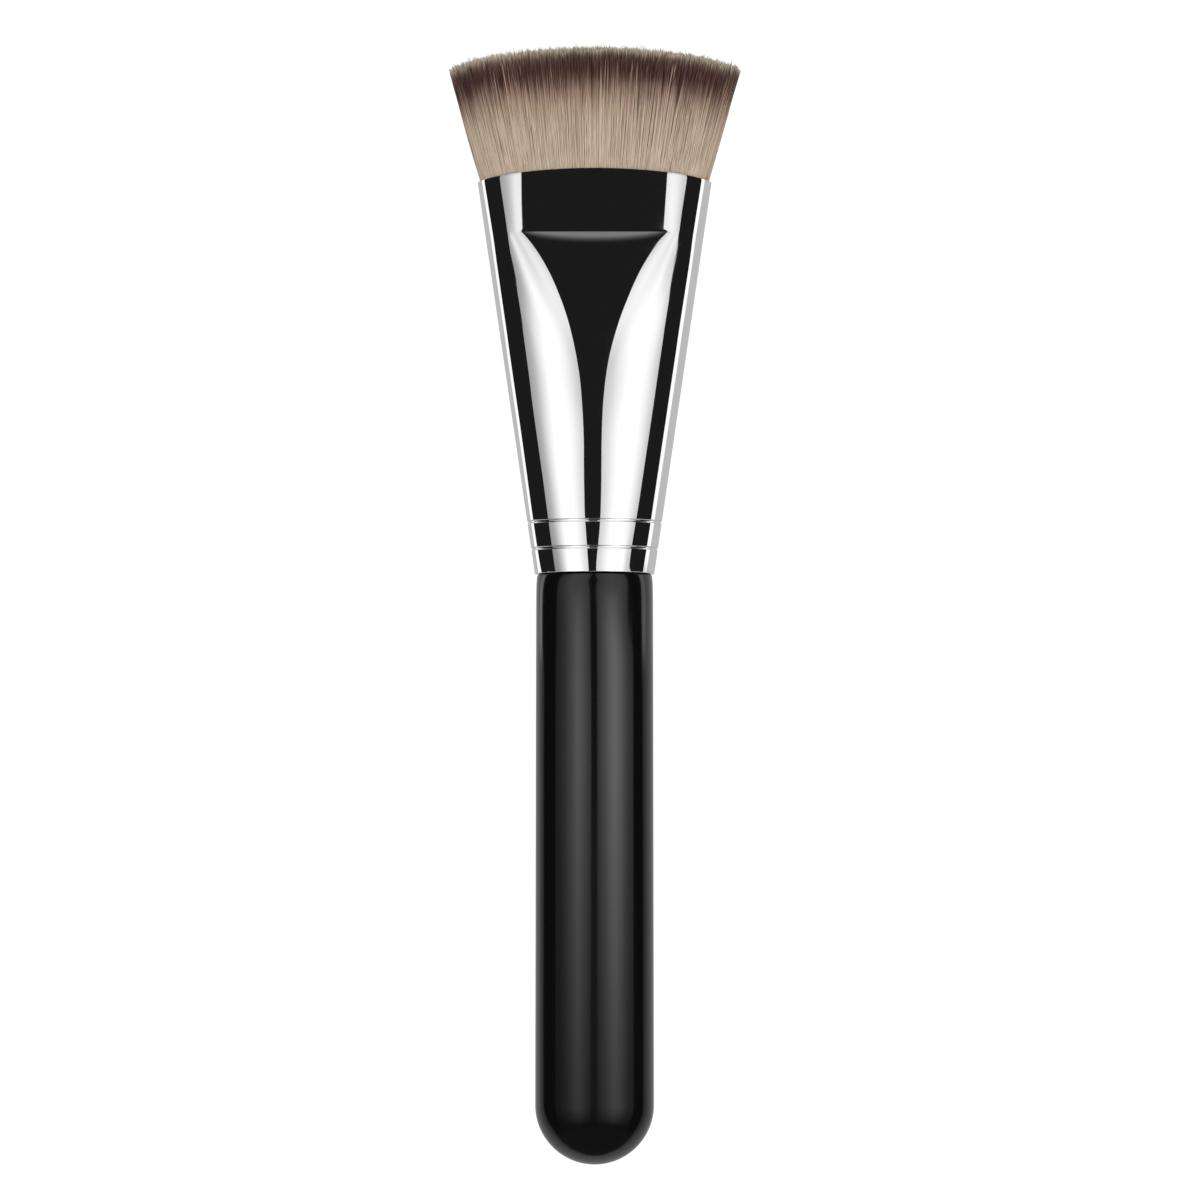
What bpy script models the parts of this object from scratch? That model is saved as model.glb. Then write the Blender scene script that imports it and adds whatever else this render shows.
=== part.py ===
"""A flat-top face blending brush: a lacquered handle, a pressed chrome ferrule and a fanned tuft of fibres.

The brush lies on its back on the plane Z = 0, with its long axis along Y and its fibre tips at +Y.
Every piece is drawn about the brush's own axis. There a distance s runs from the ferrule's round end
towards the tips, x is across the width and y is through the thickness. One empty lays them all down.
"""

import math

import bmesh
import bpy
import numpy as np
from mathutils import Vector, geometry

mm = 0.001

# Clearance that seated and bonded pieces keep from each other
FIT_GAP = 0.25 * mm

# Points closer than this are one point
WELD_DISTANCE = 0.001 * mm

# Handle, turned from one piece of beech and lacquered
HANDLE_LENGTH = 87.0 * mm
HANDLE_END_RADIUS = 8.77 * mm
HANDLE_SHOULDER_RADIUS = 8.64 * mm
SHOULDER_ROUND_RADIUS = 0.6 * mm
TENON_LENGTH = 16.0 * mm
TENON_CHAMFER = 0.8 * mm
TURNED_SIDES = 50
DOME_STEPS = 11
ROUND_STEPS = 3

# Ferrule, a seamless cone whose mouth is pressed to a flat-sided oval
FERRULE_OVERHANG = 0.19 * mm
FERRULE_WALL = 0.35 * mm
FERRULE_LENGTH = 59.75 * mm
BAND_LENGTH = 9.45 * mm
MOUTH_HALF_WIDTH = 17.33 * mm
MOUTH_HALF_THICKNESS = 6.3 * mm
MOUTH_ARC_RADIUS = 90.0 * mm
MOUTH_END_WIDTH = 6.55 * mm
FLAT_FADE = 11.8 * mm
THICKNESS_FADE = 14.0 * mm
STEP_HEIGHT = 0.2 * mm
STEP_FADE = 0.9 * mm
ARC_STEPS = 11
FLAT_STEPS = 3
BODY_ROWS = 12
BODY_ROW_CROWDING = 1.7
BAND_ROWS = 3

# Rolled crimps, measured from the ferrule's round end
CRIMP_PLACES = (3.65 * mm, 7.6 * mm)
CRIMP_HALF_WIDTH = 0.3 * mm
CRIMP_DEPTH = 0.2 * mm
CRIMP_STEPS = 4
HIDDEN_CRIMP_STEPS = 2

# Adhesive round the tenon and over its end
GLUE_SETBACK = 1.0 * mm
GLUE_FILM = 0.3 * mm
GLUE_POOL_DEPTH = 2.2 * mm

# Resin that holds the fibre roots, and the slice of it that the fibres are part of
ROOT_SET_LENGTH = 12.0 * mm
ROOT_SET_ROWS = 5
SLICE_THICKNESS = 1.4 * mm

# Tuft, drawn as locks of fibre that stand in rings and follow the oval
TUFT_OUT_LENGTH = 18.0 * mm
TOP_HALF_WIDTH = 21.55 * mm
TOP_HALF_THICKNESS = 8.3 * mm
TOP_END_WIDTH = 7.8 * mm
TOP_ARC_RADIUS = 90.0 * mm
LOCK_PITCH = 0.98 * mm
RING_PITCH = 0.82 * mm
INNER_RING_SHARE = 0.1
LOCK_MARGIN = 0.08 * mm
LOCK_RADIUS_SHARE = 0.5
TAPER_START_SHARE = 0.78
TIP_DROP = 0.45 * mm
TIP_WANDER = 0.12 * mm
TIP_SEED = 11
PACING_STEPS = 8

# What the sizes above give
ferrule_end_radius = HANDLE_SHOULDER_RADIUS + FERRULE_OVERHANG
crease_s = FERRULE_LENGTH - BAND_LENGTH
flat_half_width = MOUTH_HALF_WIDTH - MOUTH_END_WIDTH
mouth_corner_s = FERRULE_LENGTH - MOUTH_HALF_WIDTH**2 / (2 * MOUTH_ARC_RADIUS)
flare = (MOUTH_HALF_WIDTH - ferrule_end_radius) / mouth_corner_s
tenon_radius = ferrule_end_radius - FERRULE_WALL - 2 * FIT_GAP - GLUE_FILM
glue_top_s = TENON_LENGTH + FIT_GAP + GLUE_POOL_DEPTH
slice_bottom_s = crease_s - SLICE_THICKNESS
root_set_top_s = slice_bottom_s - FIT_GAP
tips_s = FERRULE_LENGTH + TUFT_OUT_LENGTH
handle_bottom_s = -FIT_GAP - HANDLE_LENGTH
axis_height = max(HANDLE_END_RADIUS, ferrule_end_radius, TOP_HALF_THICKNESS)


def crimp_depth(s):
    """How far the rolled crimps draw the wall in at s: a rounded groove at each place."""
    depth = 0 * np.asarray(s, float)
    for place in CRIMP_PLACES:
        depth = depth + CRIMP_DEPTH * np.maximum(0, 1 - ((s - place) / CRIMP_HALF_WIDTH) ** 2)
    return depth


def ferrule_section(s, inset=0.0):
    """Half-width, half-thickness and half of the straight side of the ferrule at s, drawn in by inset.

    The width grows evenly from the round end. Below the crease the thickness swells back to the round
    end's and the straight side dies away, both in the way of an exponential.
    """
    below = np.maximum(crease_s - s, 0)
    swell_share = (1 - np.exp(-below / THICKNESS_FADE)) / (1 - math.exp(-crease_s / THICKNESS_FADE))
    half_width = ferrule_end_radius + flare * s
    half_thickness = MOUTH_HALF_THICKNESS + (ferrule_end_radius - MOUTH_HALF_THICKNESS) * swell_share
    half_flat = flat_half_width * np.exp(-below / FLAT_FADE)
    drawn_in = inset + crimp_depth(s)
    return half_width - drawn_in, half_thickness - drawn_in, half_flat


def oval_shares(arc_steps, flat_steps):
    """Shares of the straight side, of the round end and of the thickness at each point round an oval."""
    flat, end, thick = [], [], []
    for quarter in range(4):
        side = 1 if quarter in (0, 3) else -1
        face = 1 if quarter < 2 else -1
        for step in range(arc_steps):
            angle = math.pi / 2 * (quarter + step / arc_steps)
            flat.append(side)
            end.append(math.cos(angle))
            thick.append(math.sin(angle))
        if quarter in (0, 2):
            for step in range(flat_steps):
                flat.append(face * (1 - 2 * step / flat_steps))
                end.append(0)
                thick.append(face)
    return np.array(flat), np.array(end), np.array(thick)


FLAT, END, THICK = oval_shares(ARC_STEPS, FLAT_STEPS)


def oval(section, shares=(FLAT, END, THICK)):
    """x and y of a flat-sided oval at the given shares: two straight sides joined by half ellipses."""
    half_width, half_thickness, half_flat = section
    flat, end, thick = shares
    return flat * half_flat + end * (half_width - half_flat), thick * half_thickness


def press_step(s, x, half_flat):
    """How far the straight side stands proud under the crease, where the press stopped.

    The step rises just below the crease, is highest in the middle and is nothing at the side's two ends.
    """
    risen_share = 1 - np.exp(-np.maximum(crease_s - s, 0) / STEP_FADE)
    return STEP_HEIGHT * risen_share * np.maximum(half_flat**2 - x**2, 0) / flat_half_width**2


def level_ring(s, inset):
    """One ring of points on the ferrule's wall, all at the same s."""
    section = ferrule_section(s, inset)
    x, y = oval(section)
    return np.column_stack([x, y + THICK * press_step(s, x, section[2]), np.full(len(x), s)])


def mouth_s(x):
    """Where the arched mouth lies at x across the width."""
    return FERRULE_LENGTH - x**2 / (2 * MOUTH_ARC_RADIUS)


def crown_s(x):
    """Where the arched top of the tuft lies at x across the width."""
    return tips_s - x**2 / (2 * TOP_ARC_RADIUS)


def band_rings(inset):
    """Rings of the pressed band, from above the crease to the arched mouth."""
    mouth_x, _ = oval(ferrule_section(FERRULE_LENGTH))
    rings = []
    for row in range(1, BAND_ROWS + 1):
        s = crease_s + row / BAND_ROWS * (mouth_s(mouth_x) - crease_s)
        x, y = oval(ferrule_section(s, inset))
        rings.append(np.column_stack([x, y, s]))
    return rings


def crimp_rows(steps):
    """Each s across the crimps, from edge to edge in a number of steps."""
    return [place + side * CRIMP_HALF_WIDTH for place in CRIMP_PLACES for side in np.linspace(-1, 1, steps + 1)]


def ferrule_rows():
    """Each s of the wall up to the crease, crowded towards it, where the shape changes fastest."""
    crimps = crimp_rows(CRIMP_STEPS)
    left_shares = 1 - np.arange(1, BODY_ROWS + 1) / BODY_ROWS
    return [0.0, *crimps, *(crease_s - (crease_s - crimps[-1]) * left_shares**BODY_ROW_CROWDING)]


def skin(name, rings, closed_tube=False):
    """A mesh object whose surface runs through the rings, capped at both ends unless it closes on itself."""
    bm = bmesh.new()
    loops = [[bm.verts.new(point) for point in ring] for ring in rings]
    pairs = list(zip(loops, loops[1:]))
    if closed_tube:
        pairs.append((loops[-1], loops[0]))
    else:
        bm.faces.new(loops[0])
        bm.faces.new(loops[-1])
    for lower, upper in pairs:
        for i, corner in enumerate(lower):
            bm.faces.new((lower[i - 1], corner, upper[i], upper[i - 1]))
    bmesh.ops.recalc_face_normals(bm, faces=bm.faces)
    return finish(name, bm)


def finish(name, bm):
    """Turns the mesh under construction into a named object."""
    mesh = bpy.data.meshes.new(name)
    bm.to_mesh(mesh)
    bm.free()
    piece = bpy.data.objects.new(name, mesh)
    bpy.context.scene.collection.objects.link(piece)
    return piece


def turned(name, profile):
    """Spins a profile of (radius, s) points, given from pole to pole, about the brush's axis."""
    bm = bmesh.new()
    points = [bm.verts.new((radius, 0, s)) for radius, s in profile]
    edges = [bm.edges.new(pair) for pair in zip(points, points[1:])]
    bmesh.ops.spin(bm, geom=points + edges, cent=Vector(), axis=Vector((0, 0, 1)), angle=2 * math.pi,
                   steps=TURNED_SIDES, use_merge=True, use_duplicate=False)
    bmesh.ops.remove_doubles(bm, verts=bm.verts, dist=WELD_DISTANCE)
    bmesh.ops.recalc_face_normals(bm, faces=bm.faces)
    return finish(name, bm)


def arc(centre_radius, centre_s, radius, start, end, steps):
    """Points of a circular arc in a turned profile, from one angle to another, both in degrees."""
    angles = np.radians(np.linspace(start, end, steps + 1))
    return [(centre_radius + radius * math.cos(a), centre_s + radius * math.sin(a)) for a in angles]


def tenon_surface(grow):
    """(radius, s) points up the tenon's side, with its glue grooves, grown by a clearance."""
    places = [GLUE_SETBACK, *crimp_rows(HIDDEN_CRIMP_STEPS)]
    return [(tenon_radius + grow - float(crimp_depth(s)), s) for s in places]


def make_handle():
    """Domed end, a barrel that tapers slightly to a rounded shoulder, and the grooved tenon."""
    shoulder_s = -FIT_GAP
    dome_s = handle_bottom_s + HANDLE_END_RADIUS
    dome = arc(0, dome_s, HANDLE_END_RADIUS, -90, 0, DOME_STEPS)
    round_off = arc(HANDLE_SHOULDER_RADIUS - SHOULDER_ROUND_RADIUS, shoulder_s - SHOULDER_ROUND_RADIUS,
                    SHOULDER_ROUND_RADIUS, 0, 90, ROUND_STEPS)
    tenon = [(tenon_radius, shoulder_s), *tenon_surface(0), (tenon_radius, TENON_LENGTH - TENON_CHAMFER),
             (tenon_radius - TENON_CHAMFER, TENON_LENGTH), (0, TENON_LENGTH)]
    return turned("handle", [(0, handle_bottom_s), *dome[1:], *round_off, *tenon])


def make_ferrule():
    """The tube: up the outside from the round end, over the mouth's rim and down the inside."""
    rows = ferrule_rows()
    outside = [level_ring(s, 0) for s in rows] + band_rings(0)
    inside = [level_ring(s, FERRULE_WALL) for s in rows] + band_rings(FERRULE_WALL)
    return skin("ferrule", outside + inside[::-1], closed_tube=True)


def tenon_ring(radius, s):
    """A ring round the tenon whose points face those of the ferrule's rings."""
    x, y = oval(ferrule_section(s))
    angle = np.arctan2(y, x)
    return np.column_stack([radius * np.cos(angle), radius * np.sin(angle), np.full(len(x), s)])


def make_tenon_glue():
    """A cup of adhesive: a film round the tenon, thicker where the ferrule widens, and a pool over its end."""
    inset = FERRULE_WALL + FIT_GAP
    bore = tenon_surface(FIT_GAP)
    bore_end = TENON_LENGTH + FIT_GAP
    roof = [(tenon_radius - TENON_CHAMFER + FIT_GAP, bore_end),
            (tenon_radius + FIT_GAP, TENON_LENGTH - TENON_CHAMFER)]
    inside = [tenon_ring(radius, s) for radius, s in [*roof, *bore[::-1]]]
    crimps = crimp_rows(HIDDEN_CRIMP_STEPS)
    outside_rows = [GLUE_SETBACK, *crimps, (crimps[-1] + glue_top_s) / 2, glue_top_s]
    return skin("tenon_glue", inside + [level_ring(s, inset) for s in outside_rows])


def make_root_set():
    """The cured resin block, which fills the ferrule below the fibres."""
    inset = FERRULE_WALL + FIT_GAP
    rows = np.linspace(root_set_top_s - ROOT_SET_LENGTH, root_set_top_s, ROOT_SET_ROWS)
    return skin("root_set", [level_ring(s, inset) for s in rows])


def along_oval(section, count, turn):
    """The shares of evenly spaced points round an oval, the first of them turn of a step along it."""
    fine = oval_shares(ARC_STEPS * PACING_STEPS, FLAT_STEPS * PACING_STEPS)
    x, y = oval(section, fine)
    length = np.concatenate([[0], np.cumsum(np.hypot(np.roll(x, -1) - x, np.roll(y, -1) - y))])
    wanted = (np.arange(count) + turn) / count * length[-1]
    return tuple(np.interp(wanted, length, np.append(share, share[0])) for share in fine)


def shrunk(section, radius, share):
    """The oval on which locks of a radius stand: drawn in by it, and its ends and thickness by a share."""
    half_width, half_thickness, half_flat = section
    return half_flat + share * (half_width - radius - half_flat), share * (half_thickness - radius), half_flat


def three_corners(x, y, s, radius):
    """The corners of a level triangle round each centre, every triangle turned the same way."""
    angle = np.arange(3) * 2 * math.pi / 3
    corners = [x[:, None] + radius * np.cos(angle), y[:, None] + radius * np.sin(angle), s[:, None] + 0 * angle]
    return np.stack(corners, axis=2)


def make_locks():
    """Corners of every lock at its foot, at the mouth and where its taper starts, and its tip.

    The locks stand in rings. A lock keeps its shares of the oval all the way up and is thinner than the
    step between rings, so that no two of them cross.
    """
    wall = FERRULE_WALL + FIT_GAP
    base = np.array(ferrule_section(crease_s, wall + LOCK_MARGIN))
    mouth = np.array(ferrule_section(mouth_corner_s, wall))
    crown = np.array([TOP_HALF_WIDTH, TOP_HALF_THICKNESS, TOP_HALF_WIDTH - TOP_END_WIDTH])
    waist = mouth + TAPER_START_SHARE * (crown - mouth)
    ring_shares = np.linspace(1, INNER_RING_SHARE, max(2, round(base[1] / RING_PITCH)))
    step_share = ring_shares[0] - ring_shares[1]
    foot_radius, neck_radius, waist_radius = (
        LOCK_RADIUS_SHARE * step_share * min(half_width - half_flat, half_thickness)
        for half_width, half_thickness, half_flat in (base, mouth, waist))
    chance = np.random.default_rng(TIP_SEED)
    rings = []
    for ring, share in enumerate(ring_shares):
        half_width, half_thickness, half_flat = around = shrunk(base, foot_radius, share)
        reach = 4 * half_flat + math.pi * (half_width - half_flat + half_thickness)
        count = round(reach / LOCK_PITCH)
        shares = along_oval(around, count, ring % 2 / 2)
        foot_x, foot_y = oval(around, shares)
        neck_x, neck_y = oval(shrunk(mouth, neck_radius, share), shares)
        waist_x, waist_y = oval(shrunk(waist, waist_radius, share), shares)
        tip_x, tip_y = oval(shrunk(crown, 0, share), shares)
        neck_s = mouth_s(neck_x)
        waist_s = neck_s + TAPER_START_SHARE * (crown_s(waist_x) - neck_s)
        tips = np.column_stack([tip_x, tip_y, crown_s(tip_x) - TIP_DROP * chance.uniform(0, 1, count)])
        tips[:, :2] += TIP_WANDER * chance.uniform(-1, 1, (count, 2))
        rings.append((three_corners(foot_x, foot_y, np.full(count, crease_s), foot_radius),
                      three_corners(neck_x, neck_y, neck_s, neck_radius),
                      three_corners(waist_x, waist_y, waist_s, waist_radius),
                      tips))
    return [np.concatenate(level) for level in zip(*rings)]


def make_bristle_tuft():
    """The fibre locks and the slice of resin that they grow from, as one body.

    The slice's top is divided into triangles round the locks' feet, and each foot carries its lock.
    """
    feet, necks, waists, tips = make_locks()
    inset = FERRULE_WALL + FIT_GAP
    rim = level_ring(crease_s, inset)
    outline = list(range(len(rim)))
    foot_loops = np.arange(len(rim), len(rim) + 3 * len(feet)).reshape(-1, 3).tolist()
    corners = [Vector(point[:2]) for point in [*rim, *feet.reshape(-1, 3)]]
    plane, _, triangles, origins, _, owners = geometry.delaunay_2d_cdt(
        corners, [], [outline, *foot_loops], 1, WELD_DISTANCE)
    bm = bmesh.new()
    top = [bm.verts.new((point.x, point.y, crease_s)) for point in plane]
    place = {corner: vert for vert, merged in zip(top, origins) for corner in merged}
    for triangle, owner in zip(triangles, owners):
        if len(owner) == 1:
            bm.faces.new([top[i] for i in triangle])
    for loop, neck, waist, tip in zip(foot_loops, necks, waists, tips):
        raise_lock(bm, [place[corner] for corner in loop], (neck, waist), tip)
    bottom = [bm.verts.new(point) for point in level_ring(slice_bottom_s, inset)]
    bm.faces.new(bottom)
    for i in outline:
        bm.faces.new((bottom[i - 1], bottom[i], place[i], place[outline[i - 1]]))
    bmesh.ops.recalc_face_normals(bm, faces=bm.faces)
    return finish("bristle_tuft", bm)


def raise_lock(bm, foot, levels, tip):
    """Builds one lock on its foot: three sides through each level's corners, closed in a point."""
    loops = [foot] + [[bm.verts.new(corner) for corner in level] for level in levels]
    point = bm.verts.new(tip)
    for i in range(3):
        for lower, upper in zip(loops, loops[1:]):
            bm.faces.new((lower[i - 1], lower[i], upper[i], upper[i - 1]))
        bm.faces.new((loops[-1][i - 1], loops[-1][i], point))


def paint(piece, colour, roughness, metallic=0.0, coat=0.0, smooth_angle=30):
    """Gives a piece its finish, and smooth shading apart from edges sharper than the angle in degrees."""
    material = bpy.data.materials.new(piece.name + "_finish")
    material.use_nodes = True
    shader = material.node_tree.nodes["Principled BSDF"]
    shader.inputs["Base Color"].default_value = (*colour, 1)
    shader.inputs["Roughness"].default_value = roughness
    shader.inputs["Metallic"].default_value = metallic
    shader.inputs["Coat Weight"].default_value = coat
    piece.data.materials.append(material)
    piece.data.shade_smooth()
    piece.data.set_sharp_from_angle(angle=math.radians(smooth_angle))


def lay_down(pieces):
    """Lays the brush on its back: s runs along +Y, the front face looks up, and its middle is over the origin."""
    axis = bpy.data.objects.new("brush_axis", None)
    bpy.context.scene.collection.objects.link(axis)
    axis.location = (0, -(tips_s + handle_bottom_s) / 2, axis_height)
    axis.rotation_euler = (-math.pi / 2, 0, 0)
    for piece in pieces:
        piece.parent = axis


def main():
    for old in list(bpy.data.objects):
        bpy.data.objects.remove(old)
    handle = make_handle()
    ferrule = make_ferrule()
    tenon_glue = make_tenon_glue()
    root_set = make_root_set()
    bristle_tuft = make_bristle_tuft()
    paint(handle, (0.006, 0.006, 0.007), 0.12, coat=1.0)
    paint(ferrule, (0.86, 0.86, 0.87), 0.04, metallic=1.0, smooth_angle=22)
    paint(tenon_glue, (0.80, 0.76, 0.62), 0.45)
    paint(root_set, (0.62, 0.43, 0.17), 0.25)
    paint(bristle_tuft, (0.52, 0.42, 0.30), 0.55)
    lay_down([handle, ferrule, tenon_glue, root_set, bristle_tuft])


main()
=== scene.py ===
"""Looks of a flat-top face blending brush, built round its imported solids.

The brush lies on its back along Y, its front face up and its fibre tips at +Y. Along it, a distance s runs
from the ferrule's round end towards the tips, a place x lies across its width, and a rise is measured from
its axis towards its front face.
"""

import math

import bpy
import numpy as np
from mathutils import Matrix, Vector


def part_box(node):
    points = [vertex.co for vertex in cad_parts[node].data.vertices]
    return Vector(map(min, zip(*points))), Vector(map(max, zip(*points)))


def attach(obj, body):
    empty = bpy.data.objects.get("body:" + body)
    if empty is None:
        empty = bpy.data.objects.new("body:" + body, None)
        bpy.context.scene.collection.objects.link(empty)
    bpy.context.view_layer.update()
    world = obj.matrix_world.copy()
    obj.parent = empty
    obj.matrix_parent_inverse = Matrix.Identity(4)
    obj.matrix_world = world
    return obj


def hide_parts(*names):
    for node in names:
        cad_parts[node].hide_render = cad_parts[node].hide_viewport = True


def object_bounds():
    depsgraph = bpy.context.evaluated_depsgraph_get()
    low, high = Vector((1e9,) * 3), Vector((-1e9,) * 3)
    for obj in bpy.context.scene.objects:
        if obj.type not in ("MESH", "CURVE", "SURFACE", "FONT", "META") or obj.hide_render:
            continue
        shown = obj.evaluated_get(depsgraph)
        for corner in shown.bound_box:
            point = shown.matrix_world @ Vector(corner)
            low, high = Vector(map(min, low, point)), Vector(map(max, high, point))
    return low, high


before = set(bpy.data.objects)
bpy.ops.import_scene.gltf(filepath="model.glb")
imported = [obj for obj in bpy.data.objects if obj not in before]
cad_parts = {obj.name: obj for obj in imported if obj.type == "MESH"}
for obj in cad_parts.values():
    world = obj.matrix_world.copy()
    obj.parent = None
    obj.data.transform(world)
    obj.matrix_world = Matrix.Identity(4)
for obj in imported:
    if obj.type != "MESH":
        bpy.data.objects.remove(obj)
solid_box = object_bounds()

mm = 0.001

# Places that the solids give
ferrule_low, ferrule_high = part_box("ferrule")
handle_low, handle_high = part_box("handle")
tuft_low, tuft_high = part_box("bristle_tuft")
start_y = ferrule_low.y
axis_z = (ferrule_low.z + ferrule_high.z) / 2
FERRULE_END_RADIUS = (ferrule_high.z - ferrule_low.z) / 2
HANDLE_END_RADIUS = (handle_high.x - handle_low.x) / 2
HANDLE_BOTTOM_S = handle_low.y - start_y
TENON_LENGTH = handle_high.y - start_y
TIPS_S = tuft_high.y - start_y
SLICE_BOTTOM_S = tuft_low.y - start_y
SLICE_THICKNESS = 1.4 * mm
CREASE_S = SLICE_BOTTOM_S + SLICE_THICKNESS

# Ferrule, which has the solid's outline and sections, with a finer step and finer crimps in the same places
FIT_GAP = 0.25 * mm
FERRULE_WALL = 0.35 * mm
FERRULE_LENGTH = 59.75 * mm
MOUTH_HALF_WIDTH = 17.33 * mm
MOUTH_HALF_THICKNESS = 6.3 * mm
MOUTH_ARC_RADIUS = 90.0 * mm
MOUTH_END_WIDTH = 6.55 * mm
FLAT_FADE = 11.8 * mm
THICKNESS_FADE = 14.0 * mm
STEP_HEIGHT = 0.15 * mm
BAND_HOLLOW = 0.08 * mm
STEP_FADE = 1.0 * mm
SIDE_EASE = 8.0 * mm
CRIMP_PLACES = (3.65 * mm, 7.6 * mm)
CRIMP_HALF_WIDTH = 0.23 * mm
CRIMP_FLOOR_SHARE = 0.3
CRIMP_DEPTH = 0.14 * mm
RIM_ROUND_RADIUS = 0.03 * mm
WALL_ARC_STEPS = 44
WALL_FLAT_STEPS = 36
RIM_RINGS = 5
FOOT_RINGS = 17
CRIMP_RINGS = 23
CRIMP_RINGS_REACH = 1.1
BETWEEN_CRIMPS_RINGS = 9
BODY_RINGS = 133
CREASE_ZONE = 4 * STEP_FADE
CREASE_RINGS = 41
BAND_RINGS = 25
INNER_RINGS = 41
INNER_BAND_SHARES = (0.9, 0.6, 0.3, 0)
flat_half_width = MOUTH_HALF_WIDTH - MOUTH_END_WIDTH
mouth_corner_s = FERRULE_LENGTH - MOUTH_HALF_WIDTH**2 / (2 * MOUTH_ARC_RADIUS)
flare = (MOUTH_HALF_WIDTH - FERRULE_END_RADIUS) / mouth_corner_s

# Handle, turned and lacquered
HANDLE_SHOULDER_RADIUS = 8.64 * mm
SHOULDER_GAP = 0.1 * mm
SHOULDER_ROUND_RADIUS = 0.3 * mm
SHOULDER_FALL = 0.14 * mm
SHOULDER_FALL_LENGTH = 0.9 * mm
TENON_CHAMFER = 0.8 * mm
GLUE_FILM = 0.3 * mm
HANDLE_SIDES = 160
DOME_STEPS = 48
BARREL_STEPS = 80
SHOULDER_STEPS = 12
GROOVE_RINGS = 9
tenon_radius = FERRULE_END_RADIUS - FERRULE_WALL - 2 * FIT_GAP - GLUE_FILM

# Tuft
SLICE_ARC_STEPS = 24
SLICE_FLAT_STEPS = 16
FIBRES = 22000
SPREAD_STEPS = (0.7548776662, 0.5698402910)
AREA_PLACES = 2001
FIBRE_GROUPS = 6
FIBRE_RADIUS = 0.07 * mm
FIBRE_GAP = 0.03 * mm
TOP_HALF_WIDTH = 21.5 * mm
TOP_HALF_THICKNESS = 8.25 * mm
TOP_END_WIDTH = 7.8 * mm
TOP_ARC_RADIUS = 90.0 * mm
FIBRE_BEND = 0.13 * mm
FIBRE_WAVE = 0.07 * mm
EDGE_CALM = 0.6
TIP_WANDER = 0.12 * mm
TIP_DROP = 0.85 * mm
LONG_TIP_SHARE = 0.03
LONG_TIP_REACH = 0.15 * mm
SURFACE_CROWDING = 0.72
CLUMP_LENGTHS = (1.3 * mm, 0.75 * mm, 0.45 * mm)
CLUMP_PULL_SHARE = 0.4
CLUMP_DROP_SHARE = 0.6
CLUMP_WAVES = 7
CLUMP_LENGTH_SPREAD = (0.75, 1.35)
TIP_DROP_SPREAD = (1.3, 2.6)
FIBRE_SEED = 11
STRAND_MAP_WIDTH = 1 / 120
STRAND_MAP_STRAY = 0.03
PATTERN_MAP = "OFBake"

# A strand's levels as shares of the way from the mouth to its tip, and its thickness at its foot and at them
STRAND_LEVELS = (0, 0.22, 0.43, 0.62, 0.78, 0.9, 1.0)
STRAND_TAPER = (1, 1, 1, 1, 0.97, 0.9, 0.8, 0.5)


def node(tree, kind, inputs=(), **settings):
    """Adds a node: inputs given as sockets are linked, and inputs given as values are set."""
    made = tree.nodes.new("ShaderNode" + kind)
    for name, value in settings.items():
        setattr(made, name, value)
    for key, value in dict(inputs).items():
        if isinstance(value, bpy.types.NodeSocket):
            tree.links.new(value, made.inputs[key])
        else:
            made.inputs[key].default_value = value
    return made


def maths(tree, operation, *values, clamp=False):
    """The result of a Math node on sockets or numbers."""
    return node(tree, "Math", enumerate(values), operation=operation, use_clamp=clamp).outputs[0]


def rescaled(tree, value, low, high, to_low=0.0, to_high=1.0, smooth=False):
    """A value carried from one range to another and held at its ends."""
    kind = "SMOOTHSTEP" if smooth else "LINEAR"
    inputs = {"Value": value, "From Min": low, "From Max": high, "To Min": to_low, "To Max": to_high}
    return node(tree, "MapRange", inputs, interpolation_type=kind).outputs["Result"]


def noise(tree, place, scale, detail):
    """Smooth noise, from 0 to 1, at a place."""
    return node(tree, "TexNoise", {"Vector": place, "Scale": scale, "Detail": detail}).outputs["Fac"]


def ramp(tree, value, stops, curved=False):
    """The colour of a value from 0 to 1 between stops of (place, colour), along lines or a smooth curve."""
    made = node(tree, "ValToRGB", {"Fac": value})
    made.color_ramp.interpolation = "CARDINAL" if curved else "LINEAR"
    elements = made.color_ramp.elements
    for place, _ in stops[2:]:
        elements.new(place)
    for element, (place, colour) in zip(elements, stops):
        element.position = place
        element.color = (*colour, 1)
    return made.outputs["Color"]


def new_material(name):
    """An empty material and its node tree."""
    material = bpy.data.materials.new(name)
    material.use_nodes = True
    material.node_tree.nodes.clear()
    return material, material.node_tree


def finished_with(tree, surface):
    """Joins a shader to the material's output."""
    output = node(tree, "OutputMaterial")
    tree.links.new(surface.outputs[0], output.inputs["Surface"])


def new_group(name, inputs, outputs):
    """A node group with named number or colour sockets, and its ends."""
    group = bpy.data.node_groups.new(name, "ShaderNodeTree")
    kinds = {float: "NodeSocketFloat", tuple: "NodeSocketColor"}
    for socket, value in inputs.items():
        made = group.interface.new_socket(socket, in_out="INPUT", socket_type=kinds[type(value)])
        made.default_value = value
    for socket, kind in outputs.items():
        group.interface.new_socket(socket, in_out="OUTPUT", socket_type=kinds[kind])
    return group, group.nodes.new("NodeGroupInput").outputs, group.nodes.new("NodeGroupOutput").inputs


def placed(tree, group, inputs):
    """A node group set into a material, with its own values."""
    return node(tree, "Group", inputs, node_tree=group).outputs


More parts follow.
